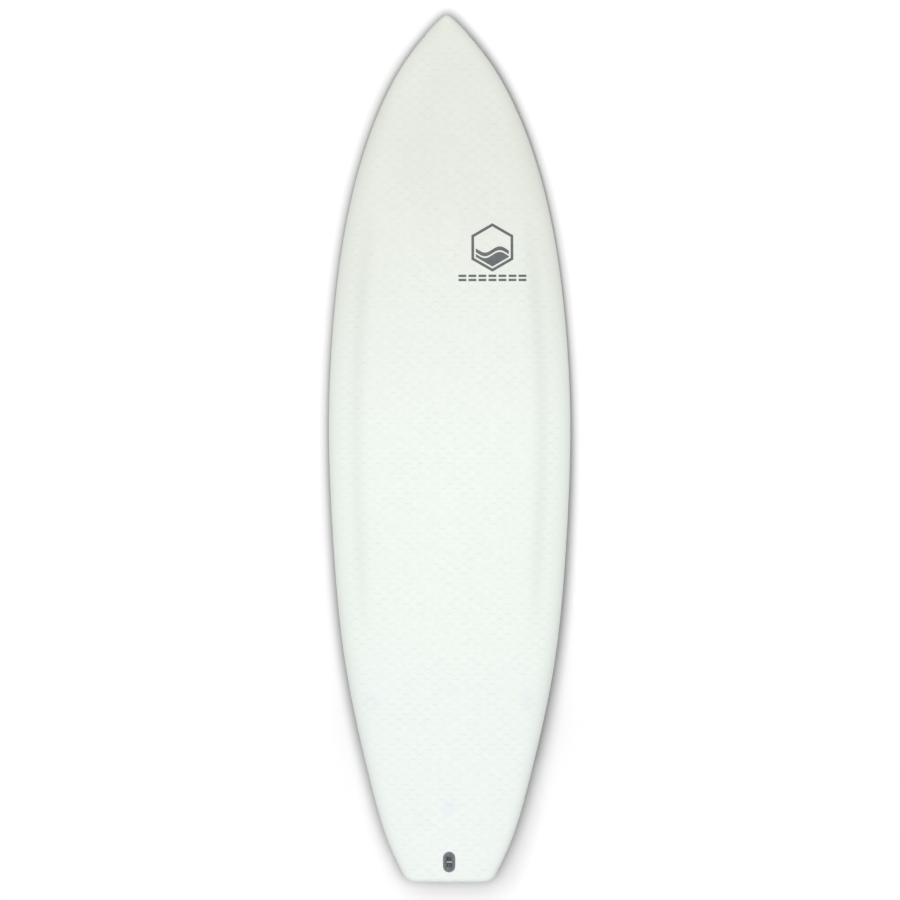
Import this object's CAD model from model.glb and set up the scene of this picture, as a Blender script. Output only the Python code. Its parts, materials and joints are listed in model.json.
import json
import math
import bpy
import numpy as np
from mathutils import Matrix, Vector, geometry


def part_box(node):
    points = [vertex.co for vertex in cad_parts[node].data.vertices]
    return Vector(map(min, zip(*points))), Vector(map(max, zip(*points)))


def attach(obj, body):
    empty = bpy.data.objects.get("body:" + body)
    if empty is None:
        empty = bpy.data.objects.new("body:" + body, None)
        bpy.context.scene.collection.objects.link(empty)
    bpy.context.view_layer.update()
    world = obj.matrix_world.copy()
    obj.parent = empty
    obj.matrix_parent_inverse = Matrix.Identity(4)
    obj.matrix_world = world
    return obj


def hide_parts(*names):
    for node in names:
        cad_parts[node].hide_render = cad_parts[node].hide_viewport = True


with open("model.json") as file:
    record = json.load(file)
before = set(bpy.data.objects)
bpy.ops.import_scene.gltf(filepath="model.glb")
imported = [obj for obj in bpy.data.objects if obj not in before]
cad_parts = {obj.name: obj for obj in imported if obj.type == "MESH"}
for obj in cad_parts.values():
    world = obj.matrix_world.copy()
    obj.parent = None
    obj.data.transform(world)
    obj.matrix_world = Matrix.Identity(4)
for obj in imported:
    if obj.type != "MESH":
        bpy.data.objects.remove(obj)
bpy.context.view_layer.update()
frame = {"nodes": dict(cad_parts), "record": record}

MM = 0.001
nodes = frame["nodes"]

# ---- The board's own frame: +X right, +Y to the nose, +Z out of the deck, millimetres ------------
rack = next(m for m in frame["record"]["mounts"] if m["name"] == "rack_rest")
BOARD_Z = -Vector(rack["axis"]).normalized()
BOARD_X = Vector((1, 0, 0))
BOARD_Y = BOARD_Z.cross(BOARD_X).normalized()
AXES = np.array([BOARD_X, BOARD_Y, BOARD_Z])
ORIGIN = np.array(rack["pos_m"])


def to_row(points):
    """Board millimetres to the row frame in metres."""
    return ORIGIN + np.asarray(points) * MM @ AXES


def to_board(points):
    """Row frame in metres to board millimetres."""
    return (np.asarray(points) - ORIGIN) @ AXES.T / MM


# ---- Hull shape, as in the CAD model -------------------------------------------------------------
LENGTH = 1752.0
NOSE = LENGTH / 2
TAIL = -LENGTH / 2
OUTLINE_BEHIND_NOSE = (0, 13, 50, 110, 232, 414, 657, 826, 1081, 1324, 1567, 1688, 1752)
OUTLINE_HALF_WIDTH = (0, 20, 54, 98, 157.3, 208.7, 239.5, 246, 236.3, 210.6, 156.8, 117.6, 86)
TAIL_CORNER_RADIUS = 26.0
ROCKER_STATIONS = (-876, -571, -260, 40, 330, 600, 876)
ROCKER_HEIGHT = (58, 21, 4, 0, 13, 48, 130)
FOIL_STATIONS = (-876, -720, -500, -200, 60, 330, 600, 780, 876)
FOIL_THICKNESS = (18, 32, 47.5, 58, 60, 57, 42, 25, 14)
SHAPE_STATIONS = (-876, -500, 0, 500, 876)
BOTTOM_CONCAVE = (1.5, 3.5, 3.0, 0.6, 0.0)
TUCK_WIDTH = (3.0, 7.0, 14.0, 17.0, 14.0)
TUCK_START_ANGLE = (62, 50, 36, 26, 20)
RAIL_ROUND_WIDTH = (14, 26, 33, 35, 29)
RAIL_APEX_SHARE = 0.32
CROWN_SHARE = 0.20
SHELF_STEP = 7.0
SHELF_LINE = 0.765
SHELF_SLOPE = 12.0
SHELF_BACK = -450.0
SHELF_FRONT = 560.0
SHELF_FADE = 260.0
NOSE_CAP = 12.0
TAIL_CAP = 9.0
TAIL_TOP_ROUND = 4.5
TAIL_BOTTOM_ROUND = 1.2


def smooth_curve(stations, values):
    """A natural cubic spline through the values at the stations, as a function of an array."""
    s = np.array(stations, float)
    v = np.array(values, float)
    gap = np.diff(s)
    count = len(s)
    matrix = np.eye(count)
    right = np.zeros(count)
    for i in range(1, count - 1):
        matrix[i, i - 1 : i + 2] = gap[i - 1], 2 * (gap[i - 1] + gap[i]), gap[i]
        right[i] = 6 * ((v[i + 1] - v[i]) / gap[i] - (v[i] - v[i - 1]) / gap[i - 1])
    bend = np.linalg.solve(matrix, right)

    def value(at):
        at = np.asarray(at, float)
        i = np.clip(np.searchsorted(s, at) - 1, 0, count - 2)
        a = (s[i + 1] - at) / gap[i]
        b = 1 - a
        cubic = ((a**3 - a) * bend[i] + (b**3 - b) * bend[i + 1]) * gap[i] ** 2 / 6
        return a * v[i] + b * v[i + 1] + cubic

    return value


outline = smooth_curve([math.sqrt(d / LENGTH) for d in OUTLINE_BEHIND_NOSE], OUTLINE_HALF_WIDTH)
rocker = smooth_curve(ROCKER_STATIONS, ROCKER_HEIGHT)
foil = smooth_curve(FOIL_STATIONS, FOIL_THICKNESS)
concave = smooth_curve(SHAPE_STATIONS, BOTTOM_CONCAVE)
tuck_width = smooth_curve(SHAPE_STATIONS, TUCK_WIDTH)
tuck_angle = smooth_curve(SHAPE_STATIONS, TUCK_START_ANGLE)
rail_round = smooth_curve(SHAPE_STATIONS, RAIL_ROUND_WIDTH)


def ease(t):
    t = np.clip(t, 0.0, 1.0)
    return t * t * (3 - 2 * t)


def plan_outline(y):
    return outline(np.sqrt(np.maximum(NOSE - y, 0.0) / LENGTH))


def half_width(y):
    """Half width of the board, with the squash tail's rounded corners."""
    centre_y = TAIL + TAIL_CORNER_RADIUS
    slope = float(plan_outline(centre_y + 5) - plan_outline(centre_y - 5)) / 10
    centre_x = plan_outline(centre_y) - TAIL_CORNER_RADIUS * math.hypot(1, slope)
    tangent_y = centre_y - TAIL_CORNER_RADIUS * math.sin(math.atan(slope))
    corner = centre_x + np.sqrt(np.maximum(TAIL_CORNER_RADIUS**2 - (y - centre_y) ** 2, 0.0))
    return np.where(y > tangent_y, plan_outline(y), corner)


def section_shape(y):
    """The numbers that set the cross-section, for an array of stations."""
    y = np.asarray(y, float)
    w = np.maximum(half_width(y), 0.05)
    thickness = foil(y)
    floor = rocker(y)
    tip = np.sqrt(1 - np.clip((y - (NOSE - NOSE_CAP)) / NOSE_CAP, 0.0, 1.0) ** 2)
    floor = floor + 0.5 * thickness * (1 - tip)
    thickness = thickness * tip
    curl = 1 - np.sqrt(1 - np.clip((TAIL + TAIL_CAP - y) / TAIL_CAP, 0.0, 1.0) ** 2)
    floor = floor + TAIL_BOTTOM_ROUND * curl
    thickness = thickness - (TAIL_TOP_ROUND + TAIL_BOTTOM_ROUND) * curl
    hollow = concave(y)
    tuck = np.minimum(tuck_width(y), 0.3 * w)
    apex = RAIL_APEX_SHARE * thickness
    round_width = np.minimum(rail_round(y), 0.6 * w)
    rise = ease((y - SHELF_BACK) / SHELF_FADE)
    fall = ease((SHELF_FRONT - y) / SHELF_FADE)
    return {
        "w": w,
        "edge_x": w - tuck,
        "edge_z": floor - hollow,
        "floor": floor,
        "hollow": hollow,
        "tuck": tuck,
        "tuck_angle": np.radians(tuck_angle(y)),
        "apex_z": floor - hollow + apex,
        "apex": apex,
        "power": 3.0 / -np.log(1 - round_width / w),
        "crown": CROWN_SHARE * thickness,
        "step": SHELF_STEP * rise * fall,
        "top": floor + thickness,
    }


def top_point(shape, t):
    """(x, z) of the deck's right half: t is 0 at the centreline, 1 at the apex, 2 at the tuck."""
    share = np.sin(np.minimum(t, 1.0) * math.pi / 2)
    base = shape["top"] - shape["apex_z"] - shape["crown"] - shape["step"]
    rail = base * np.sqrt(np.maximum(1 - share ** shape["power"], 0.0))
    crown = shape["crown"] * (1 - share**2)
    inward = (share - SHELF_LINE) * shape["w"] / SHELF_SLOPE
    outer = (1 - SHELF_LINE) * shape["w"] / SHELF_SLOPE
    step = 0.5 * shape["step"] * (np.tanh(outer) - np.tanh(inward))
    start = shape["tuck_angle"]
    turn = math.pi / 2 + (start - math.pi / 2) * np.maximum(t - 1.0, 0.0)
    reach = shape["tuck"] / (1 - np.sin(start))
    drop = shape["apex"] / np.cos(start)
    under = t > 1.0
    x = np.where(under, shape["w"] - reach * (1 - np.sin(turn)), share * shape["w"])
    z = shape["apex_z"] + np.where(under, -drop * np.cos(turn), rail + crown + step)
    return x, z


TURNS = np.concatenate([np.linspace(0, 1, 181), np.linspace(1, 2, 41)[1:]])


def girths(y):
    """Distance round the deck from the centreline to each of TURNS, for an array of stations."""
    shape = {key: value[:, None] for key, value in section_shape(y).items()}
    x, z = top_point(shape, TURNS[None, :])
    steps = np.hypot(np.diff(x, axis=1), np.diff(z, axis=1))
    return np.concatenate([np.zeros((len(y), 1)), np.cumsum(steps, axis=1)], axis=1)


def turns_at(s, y):
    """The turn that lies a distance |s| round the deck from the centreline, for each point."""
    rows, row_of = np.unique(y, return_inverse=True)
    table = girths(rows)
    t = np.empty(len(s))
    order = np.argsort(row_of, kind="stable")
    edges = np.searchsorted(row_of[order], np.arange(len(rows) + 1))
    for i in range(len(rows)):
        picked = order[edges[i] : edges[i + 1]]
        t[picked] = np.interp(np.abs(s[picked]), table[i], TURNS)
    return t


def deck_points(s, y):
    """Points on the deck, in board millimetres, at a distance s round it from the centreline."""
    x, z = top_point(section_shape(y), turns_at(s, y))
    return np.column_stack([np.sign(s) * x, y, z])


def bottom_points(x, y):
    shape = section_shape(y)
    return np.column_stack([x, y, shape["floor"] - shape["hollow"] * (x / shape["edge_x"]) ** 2])


# ---- Honeycomb print-through of the deck: flat-topped cells, stretched along the board -----------
COLUMN_PITCH = 14.65
ROW_PITCH = 20.35
CELL_RADIUS = COLUMN_PITCH / 1.5
CELL_APOTHEM = CELL_RADIUS * math.sqrt(3) / 2
CELL_STRETCH = ROW_PITCH / (2 * CELL_APOTHEM)
GROOVE_HALF_WIDTH = 1.15
GROOVE_DEPTH = 0.16
GROOVE_SHOULDER = 1.6
PATTERN_INSET = 12.0
PATTERN_FADE = 13.0
PATTERN_TAIL_INSET = 9.0
PATTERN_TAIL_FADE = 14.0
PATTERN_NOSE_INSET = 26.0
PATTERN_NOSE_FADE = 30.0
PATTERN_CUP_GAP = 0.8
PATTERN_CUP_FADE = 2.5
PATTERN_RAIL_GAP = 20.0
PATTERN_REACH = 300.0
CORNER_KEYS_PER_MM = 50

# The honeycomb lies a little askew and off centre, and its cells lengthen towards the nose
CELLS_ACROSS = 2.4
CELLS_ALONG = 3.1
CELLS_SKEW = 0.0045
CELLS_STRETCH_START = -200.0
CELLS_STRETCH_RATE = 2.3e-8
SLANTED_STRENGTH = 0.35
CORNER_BLEND = 1.2


def into_cells(s, y):
    """A point of the deck in the even lattice of cells."""
    stretch = CELLS_STRETCH_RATE * np.maximum(y - CELLS_STRETCH_START, 0.0) ** 3
    return s - CELLS_ACROSS - CELLS_SKEW * y, y - CELLS_ALONG - stretch


def out_of_cells(u, v):
    """A point of the even lattice of cells on the deck."""
    y = v + CELLS_ALONG
    for _ in range(12):
        stretch = CELLS_STRETCH_RATE * np.maximum(y - CELLS_STRETCH_START, 0.0) ** 3
        y = v + CELLS_ALONG + stretch
    return u + CELLS_ACROSS + CELLS_SKEW * y, y


def cell_border(s, y):
    """Distance to the nearest cell border, unstretched, and how strongly that border shows."""
    u, v = into_cells(s, y)
    v = v / CELL_STRETCH
    near = []
    for shift_u, shift_v in ((0, 0), (COLUMN_PITCH, CELL_APOTHEM)):
        a = np.abs((u + shift_u + COLUMN_PITCH) % (2 * COLUMN_PITCH) - COLUMN_PITCH)
        b = np.abs((v + shift_v + CELL_APOTHEM) % (2 * CELL_APOTHEM) - CELL_APOTHEM)
        slanted = 0.5 * b + math.sqrt(0.75) * a
        level = ease((b - slanted) / CORNER_BLEND + 0.5)
        near.append((np.maximum(b, slanted), level))
    first = near[0][0] < near[1][0]
    distance = CELL_APOTHEM - np.where(first, near[0][0], near[1][0])
    level = np.where(first, near[0][1], near[1][1])
    return distance, SLANTED_STRENGTH + (1 - SLANTED_STRENGTH) * level


# ---- Leash plug opening --------------------------------------------------------------------------
LEASH_Y = -835.0
CUP_WIDTH = 24.7
CUP_LENGTH = 41.9
HOLE_GAP = 0.15


def cup_distance(x, y):
    """Distance outside the leash plug's round-ended outline."""
    straight = (CUP_LENGTH - CUP_WIDTH) / 2
    along = np.maximum(np.abs(y - LEASH_Y) - straight, 0.0)
    return np.hypot(x, along) - CUP_WIDTH / 2


def pattern_strength(x, y):
    """1 where the honeycomb shows in full, down to 0 at the rails, the ends and the plug."""
    strength = ease((half_width(y) - np.abs(x) - PATTERN_INSET) / PATTERN_FADE)
    strength = strength * ease((y - TAIL - PATTERN_TAIL_INSET) / PATTERN_TAIL_FADE)
    strength = strength * ease((NOSE - PATTERN_NOSE_INSET - y) / PATTERN_NOSE_FADE)
    return strength * ease((cup_distance(x, y) - PATTERN_CUP_GAP) / PATTERN_CUP_FADE)


NORMAL_STEP = 0.4


def deck_surface(flat):
    """Points on the finished deck, with its honeycomb grooves, for (s, y) pairs."""
    s, y = flat[:, 0], flat[:, 1]
    points = deck_points(s, y)
    strength = pattern_strength(points[:, 0], y)
    border, shows = cell_border(s, y)
    depth = GROOVE_DEPTH * strength * shows * (1 - ease(border / GROOVE_HALF_WIDTH))
    low = np.nonzero(depth > 1e-4)[0]
    step_s = np.where(s[low] > 0, -NORMAL_STEP, NORMAL_STEP)
    step_y = np.where(y[low] > 0, -NORMAL_STEP, NORMAL_STEP)
    across = (deck_points(s[low] + step_s, y[low]) - points[low]) / step_s[:, None]
    along = (deck_points(s[low], y[low] + step_y) - points[low]) / step_y[:, None]
    normal = np.cross(across, along)
    normal /= np.linalg.norm(normal, axis=1, keepdims=True)
    points[low] -= normal * depth[low, None]
    return points


# ---- Surfaces ------------------------------------------------------------------------------------
ROW_STEP = 6.0
TAIL_CAP_ROWS = 9
TAIL_ROWS_LENGTH = 34.0
TAIL_ROW_STEP = 2.0
NOSE_ROWS_LENGTH = 38.0
NOSE_ROWS = 26
NOSE_LAST_ROW = 0.04


def station_rows():
    """Stations along the board, close together where its ends turn over."""
    cap = TAIL + TAIL_CAP * (1 - np.cos(np.linspace(0, math.pi / 2, TAIL_CAP_ROWS)))
    corner = np.arange(TAIL + TAIL_CAP + 1.5, TAIL + TAIL_ROWS_LENGTH, TAIL_ROW_STEP)
    run = np.arange(TAIL + TAIL_ROWS_LENGTH + 4, NOSE - NOSE_ROWS_LENGTH - 2, ROW_STEP)
    tip = NOSE - NOSE_ROWS_LENGTH * np.linspace(1, NOSE_LAST_ROW, NOSE_ROWS) ** 2
    return np.concatenate([cap, corner, run, tip])


ROWS = station_rows()


def object_from(name, points, faces, body):
    mesh = bpy.data.meshes.new(name)
    mesh.from_pydata(to_row(points).tolist(), [], faces)
    mesh.update()
    mesh.shade_smooth()
    piece = bpy.data.objects.new(name, mesh)
    bpy.context.scene.collection.objects.link(piece)
    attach(piece, body)
    return piece


def triangulated(points, segments, keep):
    """Constrained triangles over flat points: (points, triangles), where keep picks by centre."""
    flat, _, faces, *_ = geometry.delaunay_2d_cdt(
        [Vector(p) for p in points], segments, [], 0, 1e-4
    )
    flat = np.array([tuple(p) for p in flat])
    triangles = np.array([f for f in faces if len(f) == 3])
    triangles = triangles[keep(flat[triangles].mean(axis=1))]
    used, index = np.unique(triangles, return_inverse=True)
    return flat[used], index.reshape(-1, 3)


def loop_segments(start, count):
    return [(start + i, start + (i + 1) % count) for i in range(count)]


def honeycomb_lines():
    """Corners and rings of every cell that shows on the deck: (points, segments) in (s, y)."""
    reach = int(PATTERN_REACH / COLUMN_PITCH)
    columns = np.arange(-reach, reach + 1)
    rows = np.arange(int(TAIL / ROW_PITCH) - 1, int(NOSE / ROW_PITCH) + 2)
    column, row = [g.ravel() for g in np.meshgrid(columns, rows)]
    u, v = column * COLUMN_PITCH, (row + 0.5 * (column % 2)) * ROW_PITCH
    turn = np.radians(np.arange(6) * 60)
    ring_u = u[:, None] + CELL_RADIUS * np.cos(turn)
    ring_v = v[:, None] + CELL_RADIUS * np.sin(turn) * CELL_STRETCH
    centre = np.column_stack(out_of_cells(u, v))
    corners = np.stack(out_of_cells(ring_u, ring_v), axis=-1)
    s, y = corners[..., 0].ravel(), corners[..., 1].ravel()
    inside = (y > TAIL + PATTERN_TAIL_INSET + 1) & (y < NOSE - PATTERN_NOSE_INSET - 1)
    on_deck = np.zeros(len(s), bool)
    x = deck_points(s[inside], y[inside])[:, 0]
    clear = pattern_strength(x, y[inside]) > 0.0
    girth_end = np.interp(y[inside], ROWS, girths(ROWS)[:, -1])
    on_deck[inside] = clear & (np.abs(s[inside]) < girth_end - PATTERN_RAIL_GAP)
    shown = on_deck.reshape(-1, 6).all(axis=1)
    centre, corners = centre[shown], corners[shown]
    points = []
    segments = []
    number = {}
    for middle, ring in zip(centre, corners):
        border = []
        for p in ring:
            key = (round(p[0] * CORNER_KEYS_PER_MM), round(p[1] * CORNER_KEYS_PER_MM))
            if key not in number:
                number[key] = len(points)
                points.append(tuple(p))
            border.append(number[key])
        segments += [(border[i], border[(i + 1) % 6]) for i in range(6)]
        for inset in (GROOVE_HALF_WIDTH, GROOVE_HALF_WIDTH + GROOVE_SHOULDER):
            start = len(points)
            points += [tuple(middle + (p - middle) * (1 - inset / CELL_APOTHEM)) for p in ring]
            segments += loop_segments(start, 6)
        points.append(tuple(middle))
    unique = {tuple(sorted(segment)) for segment in segments}
    return points, sorted(unique)


RAIL_COLUMNS = 17
RAIL_INSET = 14.0
INNER_STEP = 3.2
INNER_COUNT = 8
SLOPE_STEP = 2.6
SLOPE_COUNT = 6
END_STEP = 5.0
BORDER_GAP = 0.5
GROOVE_GAP = 0.45
OPENING_GAP = 1.2


def rail_points():
    """A regular net over the rails, the shelf's slope and both ends, in (s, y)."""
    shape = section_shape(ROWS)
    girth = girths(ROWS)
    points = []
    for i, y in enumerate(ROWS):
        w = shape["w"][i]

        def girth_at(x):
            turn = math.asin(min(max(x / w, 0.0), 1.0)) * 2 / math.pi
            return float(np.interp(turn, TURNS, girth[i]))

        end = girth[i, -1]
        start = girth_at(max(w - RAIL_INSET, 0.65 * w))
        line = list(end - (end - start) * np.linspace(0, 1, RAIL_COLUMNS))
        inner = [start - INNER_STEP * k for k in range(1, INNER_COUNT + 1)]
        line += [v for v in inner if v > 0.3 * start]
        if shape["step"][i] > 0.02:
            middle = girth_at(SHELF_LINE * w)
            slope = [middle + SLOPE_STEP * k for k in range(-SLOPE_COUNT, SLOPE_COUNT + 1)]
            line += [v for v in slope if v < start - INNER_STEP * INNER_COUNT - 1]
        if y < TAIL + 14 or y > NOSE - 40:
            line += list(np.linspace(0, start, max(int(start / END_STEP), 2))[:-1])
        line = np.array(sorted(set(round(v, 4) for v in line)))
        for s in line:
            points += [(s, y)] if s == 0 else [(s, y), (-s, y)]
    points = np.array(points)
    x = deck_points(points[:, 0], points[:, 1])[:, 0]
    free = pattern_strength(x, points[:, 1]) <= 0
    border = cell_border(points[:, 0], points[:, 1])[0]
    spaced = (border > BORDER_GAP) & (np.abs(border - GROOVE_HALF_WIDTH) > GROOVE_GAP)
    kept = points[free | spaced]
    x = deck_points(kept[:, 0], kept[:, 1])[:, 0]
    return kept[(cup_distance(x, kept[:, 1]) > OPENING_GAP)]


CUP_END_POINTS = 32


def cup_loop(points):
    """Adds the leash plug's outline to a list of points and returns its segments."""
    straight = (CUP_LENGTH - CUP_WIDTH) / 2
    radius = CUP_WIDTH / 2 + HOLE_GAP
    start = len(points)
    for k in range(CUP_END_POINTS):
        a = math.pi * k / (CUP_END_POINTS - 1)
        points.append((radius * math.cos(a), LEASH_Y + straight + radius * math.sin(a)))
    for k in range(CUP_END_POINTS):
        a = math.pi + math.pi * k / (CUP_END_POINTS - 1)
        points.append((radius * math.cos(a), LEASH_Y - straight + radius * math.sin(a)))
    return loop_segments(start, 2 * CUP_END_POINTS)


def tag(piece, flat):
    """Stores the flat coordinates, in metres, for the piece's material."""
    layer = piece.data.attributes.new("lay", "FLOAT_VECTOR", "POINT")
    inset = half_width(flat[:, 1]) - np.abs(flat[:, 0])
    values = np.column_stack([flat, inset]) * MM
    layer.data.foreach_set("vector", values.astype(np.float32).ravel())


def make_deck():
    points, segments = honeycomb_lines()
    segments = segments + cup_loop(points)
    points += [tuple(p) for p in rail_points()]
    ends = girths(ROWS)[:, -1]

    def keep(centre):
        on_board = np.abs(centre[:, 0]) < np.interp(centre[:, 1], ROWS, ends)
        return on_board & (cup_distance(centre[:, 0], centre[:, 1]) > HOLE_GAP / 2)

    flat, triangles = triangulated(points, segments, keep)
    surface = deck_surface(flat)
    tail_row = np.nonzero(flat[:, 1] < TAIL + 1e-3)[0]
    tail_row = tail_row[np.argsort(flat[tail_row, 0])]
    edge_x = section_shape(np.array([TAIL]))["edge_x"][0]
    across = np.linspace(-edge_x, edge_x, BOTTOM_COLUMNS)[1:-1]
    low_row = bottom_points(across, np.full(len(across), TAIL))
    first = len(surface)
    end_face = list(tail_row) + list(range(first + len(across) - 1, first - 1, -1))
    faces = triangles.tolist() + [[int(i) for i in end_face[::-1]]]
    deck = object_from(
        "deck_laminate", np.vstack([surface, low_row]), faces, "hull"
    )
    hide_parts("deck_skin")
    tag(deck, np.vstack([flat, low_row[:, :2]]))
    return deck


# ---- Bottom --------------------------------------------------------------------------------------
BOTTOM_COLUMNS = 41
PLUG_GAP = 0.05
PLUG_RING_TURN = 5
FLANGE_NEAR = 0.15
FIN_NAMES = ("left", "right", "centre")
PLUG_NAMES = [f"{name}_{end}_fin_plug" for name in FIN_NAMES for end in ("front", "rear")]


def flange_circle(node):
    """Centre and radius of a fin plug's flange where it meets the bottom, in board millimetres."""
    points = to_board([v.co for v in nodes[node].data.vertices])
    gap = points[:, 2] - bottom_points(points[:, 0], points[:, 1])[:, 2]
    rim = points[np.abs(gap) < FLANGE_NEAR]
    low, high = rim.min(axis=0), rim.max(axis=0)
    return (low[:2] + high[:2]) / 2, (high[0] - low[0]) / 2


def make_bottom():
    circles = [flange_circle(node) for node in PLUG_NAMES]
    shape = section_shape(ROWS)
    points = []
    for edge, y in zip(shape["edge_x"], ROWS):
        points += [(x, y) for x in edge * np.linspace(-1, 1, BOTTOM_COLUMNS)]
    points = np.array(points)
    for centre, radius in circles:
        points = points[np.hypot(*(points - centre).T) > radius + OPENING_GAP]
    points = [tuple(p) for p in points]
    segments = []
    for centre, radius in circles:
        turns = np.radians(np.arange(0, 360, PLUG_RING_TURN))
        start = len(points)
        ring = centre + (radius + PLUG_GAP) * np.column_stack([np.cos(turns), np.sin(turns)])
        points += [tuple(p) for p in ring]
        segments += loop_segments(start, len(turns))

    def keep(at):
        inside = np.abs(at[:, 0]) < np.interp(at[:, 1], ROWS, shape["edge_x"])
        for centre, radius in circles:
            inside &= np.hypot(*(at - centre).T) > radius
        return inside

    flat, triangles = triangulated(points, segments, keep)
    surface = bottom_points(flat[:, 0], flat[:, 1])
    bottom = object_from(
        "bottom_laminate", surface, triangles[:, ::-1].tolist(), "hull"
    )
    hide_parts("bottom_skin")
    tag(bottom, flat)
    return bottom


# ---- Materials -----------------------------------------------------------------------------------
def srgb(r, g, b):
    """A linear colour from 0 to 255 display values."""
    line = []
    for v in (r, g, b):
        c = v / 255
        line.append(c / 12.92 if c <= 0.04045 else ((c + 0.055) / 1.055) ** 2.4)
    return (*line, 1.0)


class Shader:
    """A material under construction, with short calls for the nodes it is made of."""

    def __init__(self, name, **settings):
        self.material = bpy.data.materials.new(name)
        self.material.use_nodes = True
        self.tree = self.material.node_tree
        self.bsdf = self.tree.nodes["Principled BSDF"]
        for socket, value in settings.items():
            self.bsdf.inputs[socket.replace("_", " ")].default_value = value

    def put(self, socket, value):
        if isinstance(value, bpy.types.NodeSocket):
            self.tree.links.new(value, socket)
        else:
            socket.default_value = value

    def node(self, kind, output=0, settings=None, **inputs):
        made = self.tree.nodes.new(kind)
        for key, value in (settings or {}).items():
            setattr(made, key, value)
        for key, value in inputs.items():
            self.put(made.inputs[key.replace("_", " ")], value)
        return made.outputs[output]

    def math(self, operation, a, b=0.0, c=0.0):
        made = self.tree.nodes.new("ShaderNodeMath")
        made.operation = operation
        for socket, value in zip(made.inputs, (a, b, c)):
            self.put(socket, value)
        return made.outputs[0]

    def ramp(self, value, low, high, start=0.0, end=1.0):
        """Smoothly from start to end as value goes from low to high."""
        made = self.tree.nodes.new("ShaderNodeMapRange")
        made.interpolation_type = "SMOOTHSTEP"
        for socket, given in zip(made.inputs, (value, low, high, start, end)):
            self.put(socket, given)
        return made.outputs[0]

    def mix(self, share, a, b):
        made = self.tree.nodes.new("ShaderNodeMix")
        made.data_type = "RGBA"
        for socket, value in zip((made.inputs[0], made.inputs[6], made.inputs[7]), (share, a, b)):
            self.put(socket, value)
        return made.outputs[2]

    def noise(self, scale, detail=2.0, vector=None, roughness=0.5):
        inputs = {"Scale": scale, "Detail": detail, "Roughness": roughness}
        if vector is not None:
            inputs["Vector"] = vector
        return self.node("ShaderNodeTexNoise", **inputs)

    def object_place(self):
        return self.node("ShaderNodeTexCoord", output=3)

    def bump(self, height, strength, distance):
        normal = self.node("ShaderNodeBump", Strength=strength, Distance=distance, Height=height)
        self.put(self.bsdf.inputs["Normal"], normal)

    def colour(self, value):
        self.put(self.bsdf.inputs["Base Color"], value)

    def roughness(self, value):
        self.put(self.bsdf.inputs["Roughness"], value)


def lay(shader):
    """Flat coordinates of a laminate, in metres: across, along, and inward from the outline."""
    vector = shader.node("ShaderNodeAttribute", output=1, settings={"attribute_name": "lay"})
    split = shader.tree.nodes.new("ShaderNodeSeparateXYZ")
    shader.put(split.inputs[0], vector)
    return vector, split.outputs[0], split.outputs[1], split.outputs[2]


def cell_lines(shader, s, y):
    """Distance in metres to the nearest cell border, unstretched, and how strongly it shows."""
    pitch = COLUMN_PITCH * MM
    apothem = CELL_APOTHEM * MM
    skew = shader.math("MULTIPLY_ADD", y, -CELLS_SKEW, -CELLS_ACROSS * MM)
    past = shader.math("MAXIMUM", shader.math("SUBTRACT", y, CELLS_STRETCH_START * MM), 0.0)
    stretch = shader.math("MULTIPLY", shader.math("POWER", past, 3.0), CELLS_STRETCH_RATE / MM**2)
    v = shader.math("SUBTRACT", shader.math("SUBTRACT", y, CELLS_ALONG * MM), stretch)
    a = shader.math("PINGPONG", shader.math("ADD", s, skew), pitch)
    b = shader.math("PINGPONG", shader.math("DIVIDE", v, CELL_STRETCH), apothem)
    other = shader.math("SUBTRACT", pitch, a), shader.math("SUBTRACT", apothem, b)
    near = []
    for across, along in ((a, b), other):
        slant = shader.math("MULTIPLY", across, math.sqrt(0.75))
        slanted = shader.math("MULTIPLY_ADD", along, 0.5, slant)
        blend = 0.5 * CORNER_BLEND * MM
        ahead = shader.math("SUBTRACT", along, slanted)
        level = shader.ramp(ahead, -blend, blend, SLANTED_STRENGTH, 1.0)
        near.append((shader.math("MAXIMUM", along, slanted), level))
    first = shader.math("LESS_THAN", near[0][0], near[1][0])
    second = shader.math("SUBTRACT", 1.0, first)
    shows = shader.math("MULTIPLY", second, near[1][1])
    shows = shader.math("MULTIPLY_ADD", first, near[0][1], shows)
    border = shader.math("SUBTRACT", apothem, shader.math("MINIMUM", near[0][0], near[1][0]))
    return border, shows


# Printed mark: a hexagon with a wave in it, over two rows of plain dashes
MARK_X = 0.0895
MARK_Y = 0.4103
MARK_APOTHEM = 0.0425
MARK_RING = 0.0056
MARK_CLEAR = 1.6
WAVE_HEIGHT = 0.0062
WAVE_TURN = 105.0
SEA_DROP = 0.004
FOAM_LINE_DROP = 0.0135
FOAM_LINE_HALF = 0.0017
DASH_DROP = 0.0616
DASH_ROWS = 0.0042
DASH_TALL = 0.0024
DASH_PITCH = 0.0203
DASH_GAP = 0.0022
DASH_END = 0.070


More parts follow.
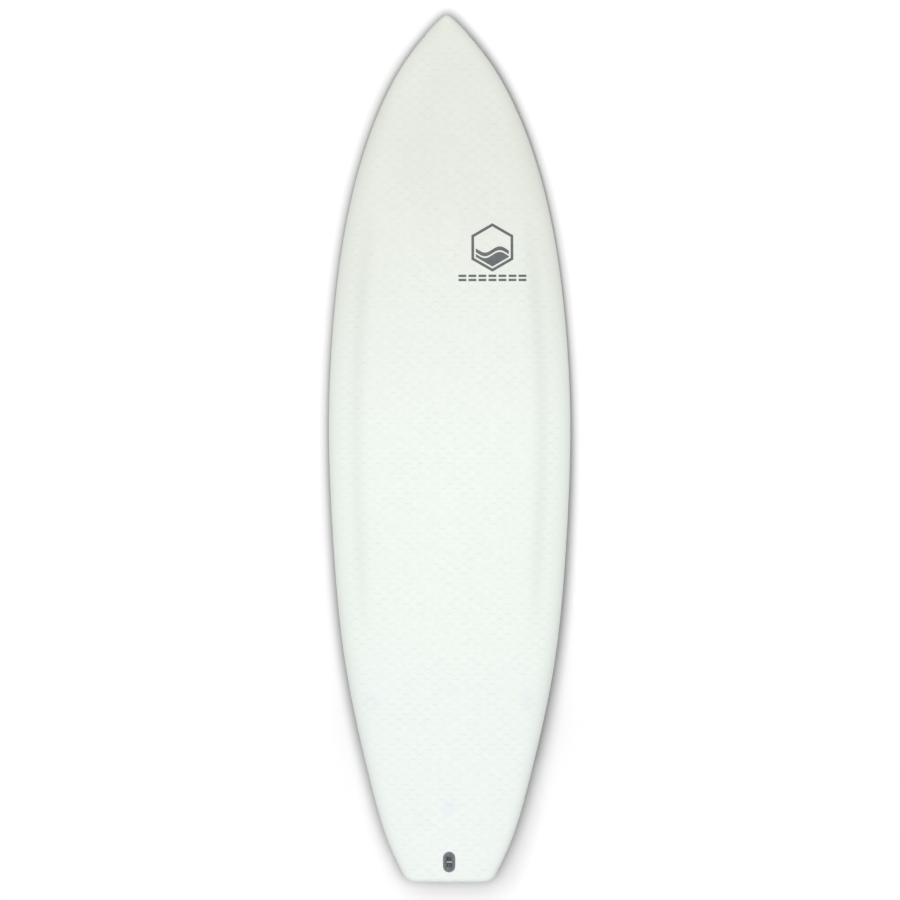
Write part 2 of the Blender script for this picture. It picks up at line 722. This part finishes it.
def printed_mark(shader, s, y):
    """1 inside the printed mark."""
    u = shader.math("SUBTRACT", s, MARK_X)
    v = shader.math("SUBTRACT", y, MARK_Y)
    side = shader.math("ABSOLUTE", u)
    slant = shader.math("MULTIPLY", shader.math("ABSOLUTE", v), math.sqrt(0.75))
    hexagon = shader.math("MAXIMUM", side, shader.math("MULTIPLY_ADD", side, 0.5, slant))
    outer = shader.math("LESS_THAN", hexagon, MARK_APOTHEM)
    hole = shader.math("GREATER_THAN", hexagon, MARK_APOTHEM - MARK_RING)
    ring = shader.math("MULTIPLY", outer, hole)
    inside = shader.math("LESS_THAN", hexagon, MARK_APOTHEM - MARK_CLEAR * MARK_RING)
    wave = shader.math("SINE", shader.math("MULTIPLY", u, WAVE_TURN))
    crest = shader.math("MULTIPLY", wave, WAVE_HEIGHT)
    sea = shader.math("LESS_THAN", v, shader.math("SUBTRACT", crest, SEA_DROP))
    line = shader.math("SUBTRACT", v, shader.math("SUBTRACT", crest, FOAM_LINE_DROP))
    gap = shader.math("LESS_THAN", shader.math("ABSOLUTE", line), FOAM_LINE_HALF)
    waves = shader.math("MULTIPLY", inside, sea)
    waves = shader.math("MULTIPLY", waves, shader.math("SUBTRACT", 1.0, gap))
    down = shader.math("ABSOLUTE", shader.math("ADD", v, DASH_DROP))
    off_row = shader.math("ABSOLUTE", shader.math("SUBTRACT", down, DASH_ROWS))
    rows = shader.math("LESS_THAN", off_row, DASH_TALL)
    along = shader.math("PINGPONG", shader.math("ADD", side, DASH_PITCH / 2), DASH_PITCH / 2)
    dashes = shader.math("GREATER_THAN", along, DASH_GAP)
    dashes = shader.math("MULTIPLY", dashes, shader.math("LESS_THAN", side, DASH_END))
    dashes = shader.math("MULTIPLY", rows, dashes)
    return shader.math("MAXIMUM", shader.math("MAXIMUM", ring, waves), dashes)


# A plug's print-through fades out over these squares of the distance, in the spot's half sizes
SPOT_HALF_ACROSS = 0.015
SPOT_HALF_ALONG = 0.019
SPOT_OUTER = 1.9
SPOT_INNER = 0.15
REAR_SPOT_WEIGHT = 0.06
SPOT_STRENGTH = 0.3


def insert_shadow(shader, s, y):
    """How much of the fin plugs shows through the deck, from 0 to 1."""
    total = 0.0
    for node in PLUG_NAMES:
        low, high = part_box(node)
        x0, y0, _ = to_board((np.array(low) + np.array(high)) / 2) * MM
        weight = 1.0 if "front" in node else REAR_SPOT_WEIGHT
        across = shader.math("DIVIDE", shader.math("SUBTRACT", s, float(x0)), SPOT_HALF_ACROSS)
        along = shader.math("DIVIDE", shader.math("SUBTRACT", y, float(y0)), SPOT_HALF_ALONG)
        square = shader.math("MULTIPLY_ADD", across, across, shader.math("MULTIPLY", along, along))
        spot = shader.ramp(square, SPOT_OUTER, SPOT_INNER, 0.0, weight)
        total = spot if node == PLUG_NAMES[0] else shader.math("MAXIMUM", total, spot)
    return total


DECK_MIDDLE = srgb(228, 234, 228)
DECK_NOSE = srgb(217, 220, 211)
DECK_TAIL = srgb(228, 234, 230)
DECK_CLOUD = srgb(226, 232, 226)
DECK_SPECK = srgb(150, 156, 152)
CELL_LINE = srgb(176, 186, 178)
CELL_LINE_HALF = 0.0014
CELL_LINE_STRENGTH = 0.26
NOSE_TONE_START, NOSE_TONE_FULL = -0.02, 0.62
TAIL_TONE_START, TAIL_TONE_FULL = -0.2, -0.8
MARK_GREY = srgb(64, 68, 72)
SPOT_BLUE = srgb(214, 226, 236)


def deck_material():
    shader = Shader("deck_laminate_finish", Roughness=0.5, IOR=1.45, Specular_IOR_Level=0.4)
    vector, s, y, inset = lay(shader)
    to_nose = shader.ramp(y, NOSE_TONE_START, NOSE_TONE_FULL)
    tone = shader.mix(to_nose, DECK_MIDDLE, DECK_NOSE)
    tone = shader.mix(shader.ramp(y, TAIL_TONE_START, TAIL_TONE_FULL), tone, DECK_TAIL)
    cloud = shader.ramp(shader.noise(5.0, 3.0, vector), 0.3, 0.7, 0.0, 0.35)
    tone = shader.mix(cloud, tone, DECK_CLOUD)
    spots = shader.math("MULTIPLY", insert_shadow(shader, s, y), SPOT_STRENGTH)
    tone = shader.mix(spots, tone, SPOT_BLUE)
    border, shows = cell_lines(shader, s, y)
    strength = shader.ramp(inset, PATTERN_INSET * MM, (PATTERN_INSET + PATTERN_FADE) * MM)
    uneven = shader.ramp(shader.noise(16.0, 1.0, vector), 0.35, 0.7, 0.45, 1.0)
    strength = shader.math("MULTIPLY", shader.math("MULTIPLY", strength, uneven), shows)
    line = shader.math("MULTIPLY", shader.ramp(border, CELL_LINE_HALF, 0.0), strength)
    tone = shader.mix(shader.math("MULTIPLY", line, CELL_LINE_STRENGTH), tone, CELL_LINE)
    speck = shader.ramp(shader.noise(420.0, 2.0, vector), 0.66, 0.74, 0.0, 0.05)
    tone = shader.mix(speck, tone, DECK_SPECK)
    mark = printed_mark(shader, s, y)
    worn = shader.ramp(shader.noise(900.0, 2.0, vector), 0.2, 0.75, 0.86, 1.0)
    tone = shader.mix(shader.math("MULTIPLY", mark, worn), tone, MARK_GREY)
    shader.colour(tone)
    shader.roughness(shader.ramp(shader.noise(60.0, 4.0, vector), 0.2, 0.8, 0.44, 0.54))
    shader.bump(shader.noise(700.0, 3.0, vector), 0.06, 0.0002)
    return shader.material


def bottom_material():
    shader = Shader(
        "bottom_laminate_finish", Roughness=0.2, IOR=1.5, Coat_Weight=0.4, Coat_Roughness=0.08
    )
    vector = lay(shader)[0]
    cloud = shader.ramp(shader.noise(4.0, 3.0, vector), 0.3, 0.7)
    tone = shader.mix(cloud, srgb(236, 241, 236), srgb(229, 236, 231))
    speck = shader.ramp(shader.noise(380.0, 2.0, vector), 0.67, 0.75, 0.0, 0.06)
    tone = shader.mix(speck, tone, srgb(150, 158, 152))
    scuff = shader.ramp(shader.noise(9.0, 6.0, vector, 0.7), 0.58, 0.8, 0.0, 0.12)
    tone = shader.mix(scuff, tone, srgb(214, 219, 212))
    shader.colour(tone)
    shader.roughness(shader.ramp(shader.noise(45.0, 5.0, vector), 0.25, 0.8, 0.14, 0.3))
    shader.bump(shader.noise(240.0, 3.0, vector), 0.04, 0.0002)
    return shader.material


def foam_material(name, pale, dark, bead):
    """Closed-cell foam: beads with darker borders."""
    shader = Shader(name, Roughness=0.85, Specular_IOR_Level=0.25)
    place = shader.object_place()
    edges = {"feature": "DISTANCE_TO_EDGE"}
    beads = shader.node("ShaderNodeTexVoronoi", settings=edges, Vector=place, Scale=bead)
    share = shader.ramp(beads, 0.02, 0.22)
    tone = shader.mix(share, dark, pale)
    tone = shader.mix(shader.ramp(shader.noise(12.0, 2.0, place), 0.3, 0.7, 0.0, 0.4), tone, dark)
    shader.colour(tone)
    shader.bump(share, 0.5, 0.0006)
    return shader.material


RIM_PALE = srgb(93, 99, 105)
RIM_DARK = srgb(83, 89, 95)
BOWL_TONE = srgb(68, 73, 80)
WELL_TONE = srgb(36, 39, 43)
# Heights over the deck, in metres, between which each darker tone sets in
BOWL_START, BOWL_FULL = -0.0005, -0.0013
WELL_START, WELL_FULL = -0.0017, -0.006


def deck_seat(y):
    """A point of the deck's centreline and the direction square out of it, in the row frame."""
    at = to_row(deck_points(np.zeros(3), np.array([y, y - 5.0, y + 5.0])))
    normal = np.cross(np.array(BOARD_X), at[2] - at[1])
    return at[0], normal / np.linalg.norm(normal)


def moulded_material(name, pale, dark, roughness, seat=None):
    """Moulded plastic, grained and mottled; darker in the bowl and well under the seat's level."""
    shader = Shader(name, Roughness=roughness, IOR=1.48)
    place = shader.object_place()
    cloud = shader.ramp(shader.noise(90.0, 4.0, place), 0.3, 0.7)
    tone = shader.mix(cloud, dark, pale)
    grain = shader.noise(2600.0, 2.0, place)
    tone = shader.mix(shader.ramp(grain, 0.35, 0.75, 0.0, 0.25), tone, pale)
    if seat is not None:
        centre, normal = seat
        dot = {"operation": "DOT_PRODUCT"}
        level = shader.node("ShaderNodeVectorMath", output=1, settings=dot)
        product = level.node
        shader.put(product.inputs[0], place)
        product.inputs[1].default_value = normal
        above = shader.math("SUBTRACT", level, float(centre @ normal))
        tone = shader.mix(shader.ramp(above, BOWL_START, BOWL_FULL), tone, BOWL_TONE)
        tone = shader.mix(shader.ramp(above, WELL_START, WELL_FULL), tone, WELL_TONE)
    shader.colour(tone)
    patch = shader.noise(300.0, 3.0, place)
    shader.roughness(shader.ramp(patch, 0.3, 0.7, roughness - 0.08, roughness + 0.1))
    shader.bump(grain, 0.35, 0.00012)
    return shader.material


def steel_material():
    shader = Shader("brushed_steel_finish", Metallic=1.0, Roughness=0.4)
    place = shader.object_place()
    stretch = shader.node("ShaderNodeMapping", Vector=place, Scale=(40.0, 900.0, 900.0))
    streak = shader.noise(3.0, 3.0, stretch)
    shader.colour(shader.mix(streak, srgb(172, 174, 176), srgb(205, 206, 207)))
    shader.roughness(shader.ramp(streak, 0.3, 0.7, 0.34, 0.46))
    shader.bump(streak, 0.15, 0.00005)
    return shader.material


WEAVE_TOW = 0.0016


def fin_material():
    """Dark fibre composite under clear resin: a fine weave that fades under a smooth coat."""
    shader = Shader(
        "fin_composite_finish", Roughness=0.3, IOR=1.5, Coat_Weight=0.8, Coat_Roughness=0.06
    )
    place = shader.object_place()
    split = shader.tree.nodes.new("ShaderNodeSeparateXYZ")
    shader.put(split.inputs[0], place)
    along = shader.math("ADD", split.outputs[1], split.outputs[2])
    down = shader.math("SUBTRACT", split.outputs[1], split.outputs[2])
    warp = shader.math("SUBTRACT", shader.math("PINGPONG", along, WEAVE_TOW), WEAVE_TOW / 2)
    weft = shader.math("SUBTRACT", shader.math("PINGPONG", down, WEAVE_TOW), WEAVE_TOW / 2)
    over = shader.math("GREATER_THAN", shader.math("MULTIPLY", warp, weft), 0.0)
    cloud = shader.ramp(shader.noise(14.0, 3.0, place), 0.3, 0.7, 0.0, 0.5)
    tone = shader.mix(over, srgb(34, 38, 42), srgb(58, 63, 68))
    shader.colour(shader.mix(cloud, tone, srgb(44, 50, 56)))
    shader.roughness(shader.ramp(shader.noise(80.0, 4.0, place), 0.3, 0.7, 0.22, 0.38))
    shader.bump(over, 0.08, 0.00008)
    return shader.material


# ---- Scene ---------------------------------------------------------------------------------------
def assign(piece, material):
    piece.data.materials.clear()
    piece.data.materials.append(material)


def finish_cad_nodes():
    foam = foam_material("blank_foam_finish", srgb(244, 243, 236), srgb(222, 220, 208), 420.0)
    dense = foam_material("dense_foam_finish", srgb(190, 207, 219), srgb(158, 180, 196), 900.0)
    cup = moulded_material("leash_plug_finish", RIM_PALE, RIM_DARK, 0.45, deck_seat(LEASH_Y))
    plug = moulded_material("fin_plug_finish", srgb(70, 74, 78), srgb(52, 56, 60), 0.42)
    steel = steel_material()
    fin = fin_material()
    for name, node in nodes.items():
        if name.endswith("_insert"):
            assign(node, dense)
        elif name.endswith("_plug"):
            assign(node, plug)
        elif name.endswith("_screw") or name == "leash_pin":
            assign(node, steel)
        elif name.endswith("_fin"):
            assign(node, fin)
        elif name == "leash_cup":
            assign(node, cup)
        elif name == "foam_core":
            assign(node, foam)


SENSOR_WIDTH = 36.0
CAMERA_DISTANCE = 12.0
PICTURE_HEIGHT = 1.826
CAMERA_SIDE_TILT = 2.2
CAMERA_TURN = 0.09
CAMERA_TARGET = (2.5, 0.0, 60.0)
SIDE_TILT = math.radians(CAMERA_SIDE_TILT)
CAMERA_BACK = BOARD_Z * math.cos(SIDE_TILT) + BOARD_X * math.sin(SIDE_TILT)


def make_camera():
    """Above the deck, a little to the right of square, nose at the top of the picture."""
    data = bpy.data.cameras.new("camera")
    data.sensor_width = SENSOR_WIDTH
    data.lens = SENSOR_WIDTH * CAMERA_DISTANCE / PICTURE_HEIGHT
    data.clip_end = 100.0
    camera = bpy.data.objects.new("camera", data)
    bpy.context.scene.collection.objects.link(camera)
    back = CAMERA_BACK
    aside = BOARD_Y.cross(back)
    turn = math.radians(CAMERA_TURN)
    right = aside * math.cos(turn) - BOARD_Y * math.sin(turn)
    up = BOARD_Y * math.cos(turn) + aside * math.sin(turn)
    turn = Matrix((right, up, back)).transposed()
    target = Vector(to_row(CAMERA_TARGET))
    camera.matrix_world = Matrix.Translation(target + back * CAMERA_DISTANCE) @ turn.to_4x4()
    bpy.context.scene.camera = camera


# Distances outside the board's outline of the rings that carry the floor's soft shade
SHADE_RINGS = (0, 2, 4, 7, 10, 14, 18, 23, 28, 34, 45)
SHADE_REACH = 0.031
SHADE_DEPTH = 0.56
OUTLINE_STEPS = 100
OUTLINE_CORNER_STEPS = 24
OUTLINE_NOSE_SHARE = 0.2
FLOOR_REACH = 30.0
FLOOR_DROP = 0.0002
FLOOR_CORNERS = ((-1, -1), (1, -1), (1, 1), (-1, 1))


def outline_on_floor():
    """The board's outline, sent down along the camera's view, as a closed loop of floor points."""
    nose = NOSE - OUTLINE_NOSE_SHARE * LENGTH * np.linspace(0, 1, OUTLINE_STEPS) ** 2
    middle = np.linspace(nose[-1], TAIL + TAIL_CORNER_RADIUS, OUTLINE_STEPS)[1:]
    turn = np.linspace(0, math.pi / 2, OUTLINE_CORNER_STEPS)[1:]
    corner = TAIL + TAIL_CORNER_RADIUS * (1 - np.sin(turn))
    y = np.concatenate([nose, middle, corner])
    side = np.column_stack([half_width(y), y, section_shape(y)["apex_z"]])
    side[0, 0] = 0.0
    loop = to_row(np.vstack([side, side[::-1][:-1] * (-1, 1, 1)]))
    down = np.array(CAMERA_BACK)
    return (loop - loop[:, 2:] * down / down[2])[:, :2]


def make_floor():
    """A pale floor: rings with a soft shade round the board, and one wide face just below them."""
    loop = outline_on_floor()
    along = sum(np.roll(loop, -k, axis=0) - np.roll(loop, k, axis=0) for k in (1, 2, 3))
    out = np.column_stack([-along[:, 1], along[:, 0]])
    out /= np.linalg.norm(along, axis=1, keepdims=True)
    out *= np.sign(np.sum(out * (loop - loop.mean(axis=0)), axis=1, keepdims=True))
    count = len(loop)
    points = [(x, y, 0.0) for ring in SHADE_RINGS for x, y in loop + out * ring * MM]
    faces = [tuple(range(count))]
    for k in range(len(SHADE_RINGS) - 1):
        for i in range(count):
            j = (i + 1) % count
            faces.append((k * count + i, k * count + j, (k + 1) * count + j, (k + 1) * count + i))
    faces.append(tuple(len(points) + i for i in range(4)))
    points += [(x * FLOOR_REACH, y * FLOOR_REACH, -FLOOR_DROP) for x, y in FLOOR_CORNERS]
    rings = np.repeat(np.array(SHADE_RINGS) * MM, count)
    distance = np.concatenate([rings, np.full(4, FLOOR_REACH)]).astype(np.float32)
    mesh = bpy.data.meshes.new("floor")
    mesh.from_pydata(points, [], faces)
    mesh.attributes.new("outside", "FLOAT", "POINT").data.foreach_set("value", distance)
    floor = bpy.data.objects.new("floor", mesh)
    bpy.context.scene.collection.objects.link(floor)
    shader = Shader("floor_finish", Roughness=0.9, Specular_IOR_Level=0.1)
    carried = {"attribute_name": "outside"}
    outside = shader.node("ShaderNodeAttribute", output=2, settings=carried)
    share = shader.math("SUBTRACT", 1.0, shader.math("DIVIDE", outside, SHADE_REACH))
    share = shader.math("MAXIMUM", share, 0.0)
    shade = shader.math("MULTIPLY", shader.math("POWER", share, 2.0), SHADE_DEPTH)
    mottle = shader.noise(3.0, 2.0, shader.object_place())
    pale = shader.mix(mottle, srgb(252, 252, 252), srgb(255, 255, 255))
    shader.colour(shader.mix(shade, pale, srgb(0, 0, 0)))
    assign(floor, shader.material)


def make_light(name, place, size, glow):
    """A round softbox aimed at the board; glow is the light it gives a white surface facing it."""
    data = bpy.data.lights.new(name, "AREA")
    data.shape = "DISK"
    data.size = size
    data.energy = glow * (math.pi * Vector(place).length) ** 2
    light = bpy.data.objects.new(name, data)
    light.location = place
    light.rotation_euler = Vector(place).to_track_quat("Z", "Y").to_euler()
    bpy.context.scene.collection.objects.link(light)


WORLD_GLOW = 0.48
SOFTBOX_PLACE = (-0.15, 0.79, 7.5)
SOFTBOX_SIZE = 4.0
SOFTBOX_GLOW = 0.645


def make_lights():
    world = bpy.data.worlds.new("studio")
    world.use_nodes = True
    background = world.node_tree.nodes["Background"]
    background.inputs[0].default_value = (1.0, 1.0, 1.0, 1.0)
    background.inputs[1].default_value = WORLD_GLOW
    bpy.context.scene.world = world
    make_light("softbox", SOFTBOX_PLACE, SOFTBOX_SIZE, SOFTBOX_GLOW)
    bpy.context.scene.view_settings.view_transform = "Standard"


make_camera()
make_floor()
make_lights()
assign(make_deck(), deck_material())
assign(make_bottom(), bottom_material())
finish_cad_nodes()
bpy.context.view_layer.update()
